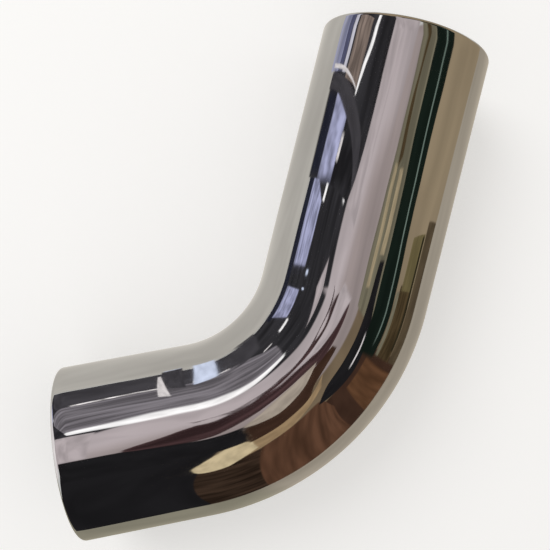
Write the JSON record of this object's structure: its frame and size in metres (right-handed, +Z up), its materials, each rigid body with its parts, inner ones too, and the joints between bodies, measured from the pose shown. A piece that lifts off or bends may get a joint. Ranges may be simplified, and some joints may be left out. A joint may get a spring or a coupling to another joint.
{
  "type": "exhaust elbow",
  "caption": "Mandrel-bent round steel exhaust elbow, chrome plated, with a short and a long straight leg and plain open ends for clamped or slip-on pipe joints.",
  "frame": {"origin": "on the tube's centreline, where the short leg runs into the bend", "axes": "+Z up from the surface that the elbow lies on, -X out of the short leg's mouth; the bend turns the tube towards +Y"},
  "size_m": [0.1781, 0.1734, 0.0635],
  "materials": {
    "chrome_plate": "mirror-polished chrome plate outside, dull plating inside"
  },
  "bodies": {
    "root": {"elbow_tube": "chrome_plate"}
  },
  "joints": []
}
